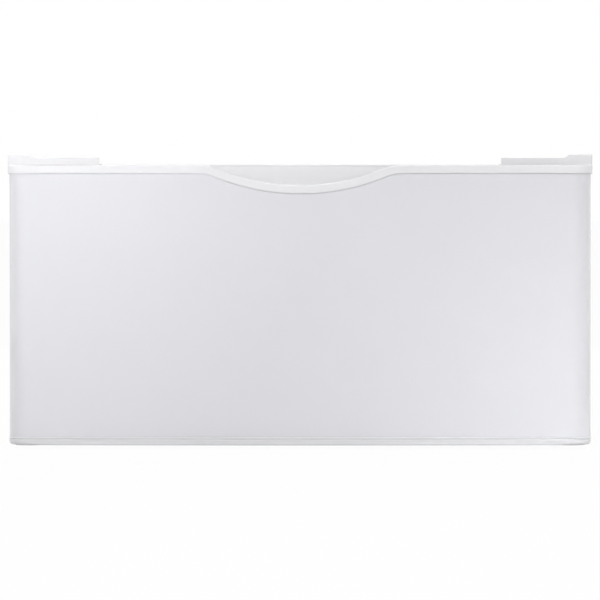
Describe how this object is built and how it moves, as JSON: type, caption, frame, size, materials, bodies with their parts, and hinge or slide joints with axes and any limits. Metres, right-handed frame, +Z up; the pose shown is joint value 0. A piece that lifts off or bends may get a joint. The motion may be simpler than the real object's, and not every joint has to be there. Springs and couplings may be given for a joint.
{
  "type": "washer pedestal drawer",
  "caption": "White steel laundry pedestal for a front-loading washer, with a full-width storage drawer whose top trim dips into a finger pull.",
  "frame": {"origin": "on the floor, at the centre of the footprint, with the feet screwed fully in", "axes": "+Z up, the drawer front faces -Y and opens towards -Y, +X is to the right seen from the front"},
  "size_m": [0.686, 0.712, 0.3438],
  "materials": {
    "white_enamel": "smooth gloss white baked enamel over steel sheet",
    "white_gloss_plastic": "moulded white plastic, satin gloss",
    "galvanised_steel": "zinc-coated steel sheet with fine spangle",
    "slide_steel": "bright zinc-plated roll-formed steel, lightly greased",
    "zinc_fastener": "zinc-plated steel",
    "ball_steel": "polished bearing steel",
    "black_rubber": "matt black rubber",
    "grey_plastic": "moulded grey plastic, fine grain"
  },
  "bodies": {
    "cabinet": {"left_side_panel": "white_enamel", "right_side_panel": "white_enamel", "back_panel": "white_enamel", "top_deck": "white_enamel", "deck_stiffeners": "galvanised_steel", "front_top_rail": "galvanised_steel", "front_base_rail": "galvanised_steel", "rear_base_rail": "galvanised_steel", "left_slide_bracket": "galvanised_steel", "right_slide_bracket": "galvanised_steel", "corner_gussets": "galvanised_steel", "foot_weld_nuts": "zinc_fastener", "cabinet_screws": "zinc_fastener", "front_bumpers": "black_rubber", "front_left_foot_seat": "white_enamel", "front_right_foot_seat": "white_enamel", "rear_left_foot_seat": "white_enamel", "rear_right_foot_seat": "white_enamel", "foot_seat_screws": "zinc_fastener", "left_slide_outer_member": "slide_steel", "right_slide_outer_member": "slide_steel", "slide_rivets": "zinc_fastener", "foot_lock_nuts": "zinc_fastener"},
    "drawer": {"left_slide_inner_member": "slide_steel", "right_slide_inner_member": "slide_steel", "lever_rivets": "zinc_fastener", "drawer_bottom": "white_enamel", "drawer_left_wall": "white_enamel", "drawer_right_wall": "white_enamel", "drawer_back_wall": "white_enamel", "divider_guides": "white_enamel", "drawer_screws": "zinc_fastener", "drawer_front_skin": "white_enamel", "drawer_inner_panel": "white_enamel", "front_stiffeners": "galvanised_steel", "handle_trim": "white_gloss_plastic", "handle_cup": "white_gloss_plastic", "bottom_trim": "white_gloss_plastic"},
    "left_middle_member": {"left_slide_middle_member": "slide_steel"},
    "left_outer_cage": {"left_outer_ball_cage": "slide_steel", "left_outer_balls": "ball_steel"},
    "left_inner_cage": {"left_inner_ball_cage": "slide_steel", "left_inner_balls": "ball_steel"},
    "left_release_lever": {"left_release_lever": "grey_plastic"},
    "right_middle_member": {"right_slide_middle_member": "slide_steel"},
    "right_outer_cage": {"right_outer_ball_cage": "slide_steel", "right_outer_balls": "ball_steel"},
    "right_inner_cage": {"right_inner_ball_cage": "slide_steel", "right_inner_balls": "ball_steel"},
    "right_release_lever": {"right_release_lever": "grey_plastic"},
    "front_divider": {"front_divider": "white_enamel"},
    "rear_divider": {"rear_divider": "white_enamel"},
    "front_left_foot_pad": {"front_left_foot_pad": "black_rubber"},
    "front_left_foot_stud": {"front_left_foot_stud": "zinc_fastener"},
    "front_right_foot_pad": {"front_right_foot_pad": "black_rubber"},
    "front_right_foot_stud": {"front_right_foot_stud": "zinc_fastener"},
    "rear_left_foot_pad": {"rear_left_foot_pad": "black_rubber"},
    "rear_left_foot_stud": {"rear_left_foot_stud": "zinc_fastener"},
    "rear_right_foot_pad": {"rear_right_foot_pad": "black_rubber"},
    "rear_right_foot_stud": {"rear_right_foot_stud": "zinc_fastener"}
  },
  "joints": [
    {"name": "drawer_slide", "type": "slide", "parent": "cabinet", "child": "drawer", "axis": [0, -1, 0], "range_m": [0, 0.44]},
    {"name": "left_middle_member_slide", "type": "slide", "parent": "cabinet", "child": "left_middle_member", "axis": [0, -1, 0], "range_m": [0, 0.22]},
    {"name": "left_outer_cage_slide", "type": "slide", "parent": "cabinet", "child": "left_outer_cage", "axis": [0, -1, 0], "range_m": [0, 0.11]},
    {"name": "left_inner_cage_slide", "type": "slide", "parent": "cabinet", "child": "left_inner_cage", "axis": [0, -1, 0], "range_m": [0, 0.33]},
    {"name": "left_release_lever_press", "type": "hinge", "parent": "drawer", "child": "left_release_lever", "pos_m": [-0.3105, -0.125, 0.105], "axis": [1, 0, 0], "range_deg": [0, 8], "stiffness_Nm_per_rad": 0.05, "springref_deg": -8.59},
    {"name": "right_middle_member_slide", "type": "slide", "parent": "cabinet", "child": "right_middle_member", "axis": [0, -1, 0], "range_m": [0, 0.22]},
    {"name": "right_outer_cage_slide", "type": "slide", "parent": "cabinet", "child": "right_outer_cage", "axis": [0, -1, 0], "range_m": [0, 0.11]},
    {"name": "right_inner_cage_slide", "type": "slide", "parent": "cabinet", "child": "right_inner_cage", "axis": [0, -1, 0], "range_m": [0, 0.33]},
    {"name": "right_release_lever_press", "type": "hinge", "parent": "drawer", "child": "right_release_lever", "pos_m": [0.3105, -0.125, 0.105], "axis": [-1, 0, 0], "range_deg": [0, 8], "stiffness_Nm_per_rad": 0.05, "springref_deg": -8.59},
    {"name": "front_divider_lift", "type": "slide", "parent": "drawer", "child": "front_divider", "axis": [0, 0, 1], "range_m": [0, 0.11]},
    {"name": "rear_divider_lift", "type": "slide", "parent": "drawer", "child": "rear_divider", "axis": [0, 0, 1], "range_m": [0, 0.11]},
    {"name": "front_left_foot_height", "type": "slide", "parent": "cabinet", "child": "front_left_foot_pad", "axis": [0, 0, 1], "range_m": [-0.025, 0]},
    {"name": "front_left_foot_turn", "type": "hinge", "parent": "front_left_foot_pad", "child": "front_left_foot_stud", "pos_m": [-0.32011, -0.2398, 0], "axis": [0, 0, 1], "range_deg": [-6000, 0]},
    {"name": "front_right_foot_height", "type": "slide", "parent": "cabinet", "child": "front_right_foot_pad", "axis": [0, 0, 1], "range_m": [-0.025, 0]},
    {"name": "front_right_foot_turn", "type": "hinge", "parent": "front_right_foot_pad", "child": "front_right_foot_stud", "pos_m": [0.32011, -0.2398, 0], "axis": [0, 0, 1], "range_deg": [-6000, 0]},
    {"name": "rear_left_foot_height", "type": "slide", "parent": "cabinet", "child": "rear_left_foot_pad", "axis": [0, 0, 1], "range_m": [-0.025, 0]},
    {"name": "rear_left_foot_turn", "type": "hinge", "parent": "rear_left_foot_pad", "child": "rear_left_foot_stud", "pos_m": [-0.32011, 0.3028, 0], "axis": [0, 0, 1], "range_deg": [-6000, 0]},
    {"name": "rear_right_foot_height", "type": "slide", "parent": "cabinet", "child": "rear_right_foot_pad", "axis": [0, 0, 1], "range_m": [-0.025, 0]},
    {"name": "rear_right_foot_turn", "type": "hinge", "parent": "rear_right_foot_pad", "child": "rear_right_foot_stud", "pos_m": [0.32011, 0.3028, 0], "axis": [0, 0, 1], "range_deg": [-6000, 0]}
  ],
  "couplings": [
    {"joint": "left_middle_member_slide", "follows": "drawer_slide", "ratio": 0.5},
    {"joint": "left_outer_cage_slide", "follows": "drawer_slide", "ratio": 0.25},
    {"joint": "left_inner_cage_slide", "follows": "drawer_slide", "ratio": 0.75},
    {"joint": "right_middle_member_slide", "follows": "drawer_slide", "ratio": 0.5},
    {"joint": "right_outer_cage_slide", "follows": "drawer_slide", "ratio": 0.25},
    {"joint": "right_inner_cage_slide", "follows": "drawer_slide", "ratio": 0.75},
    {"joint": "front_left_foot_turn", "follows": "front_left_foot_height", "rad_per_m": 4188.8},
    {"joint": "front_right_foot_turn", "follows": "front_right_foot_height", "rad_per_m": 4188.8},
    {"joint": "rear_left_foot_turn", "follows": "rear_left_foot_height", "rad_per_m": 4188.8},
    {"joint": "rear_right_foot_turn", "follows": "rear_right_foot_height", "rad_per_m": 4188.8}
  ]
}
